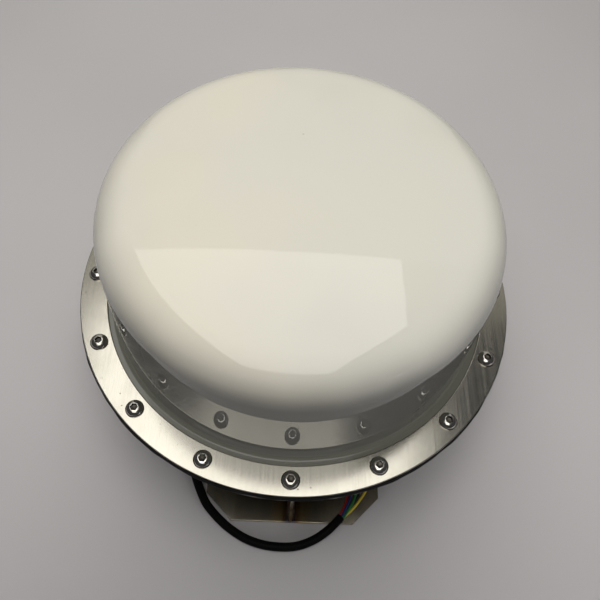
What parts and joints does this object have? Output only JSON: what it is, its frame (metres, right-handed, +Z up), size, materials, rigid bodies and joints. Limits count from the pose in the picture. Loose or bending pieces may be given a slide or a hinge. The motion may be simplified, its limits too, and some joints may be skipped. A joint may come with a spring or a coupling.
{
  "type": "navigation light",
  "caption": "Round marine signal light: opal drum lens under a screwed steel clamp ring, on a welded foot bracket, with a short multi-core pigtail.",
  "frame": {"origin": "on the drum's axis at the underside of the foot plate, the surface that the light stands on", "axes": "+Z up along the drum's axis, -Y towards the front, where the pigtail's end lies, +X to the right seen from the front"},
  "size_m": [0.27, 0.2849, 0.17],
  "materials": {
    "opal": "milky cream-white, glossy, thermoformed acrylic",
    "ring_steel": "brushed stainless, fine grain along the ring, faint scratches",
    "bracket_steel": "mill-finish stainless with straw, brown and blue heat tint along the weld",
    "weld": "rippled weld bead, brown and blue oxide",
    "screw_steel": "polished stainless",
    "fixing_steel": "plain bright stainless",
    "rubber_black": "matte black EPDM",
    "nylon_black": "moulded black polyamide",
    "jacket_black": "satin black cable jacket",
    "core_red": "red core insulation",
    "core_blue": "navy blue core insulation",
    "core_green": "green core insulation",
    "core_black": "black core insulation",
    "core_yellow": "yellow core insulation",
    "carrier": "natural rolled aluminium",
    "board": "white solder mask with pale tracks",
    "led_red": "white housing, clear window with a reddish chip",
    "led_green": "white housing, clear window with a greenish chip",
    "led_blue": "white housing, clear window with a bluish chip",
    "led_white": "white housing, yellow phosphor window",
    "chip": "moulded black chip package",
    "block": "natural polyamide",
    "lead": "thin insulated leads"
  },
  "bodies": {
    "root": {"foot_plate": "bracket_steel", "web_plate": "bracket_steel", "foot_weld": "weld", "head_weld": "weld", "base_plate": "ring_steel", "gasket": "rubber_black", "lens_drum": "opal", "lens_crown": "opal", "clamp_ring": "ring_steel", "ring_screws": "screw_steel", "ring_washers": "fixing_steel", "ring_nuts": "fixing_steel", "gland_body": "nylon_black", "gland_washer": "rubber_black", "gland_seal": "rubber_black", "gland_cap": "nylon_black", "gland_locknut": "nylon_black", "cable_entry": "jacket_black", "cable": "jacket_black", "core_red": "core_red", "core_blue": "core_blue", "core_green": "core_green", "core_black": "core_black", "core_yellow": "core_yellow", "base_studs": "fixing_steel", "carrier_spacers": "fixing_steel", "carrier_plate": "carrier", "carrier_nuts": "fixing_steel", "led_board": "board", "board_screws": "fixing_steel", "leds_red": "led_red", "leds_green": "led_green", "leds_blue": "led_blue", "leds_white": "led_white", "current_drivers": "chip", "terminal_block": "block", "terminal_screws": "fixing_steel", "block_nuts": "fixing_steel", "entry_leads": "lead", "board_leads": "lead"}
  },
  "joints": []
}
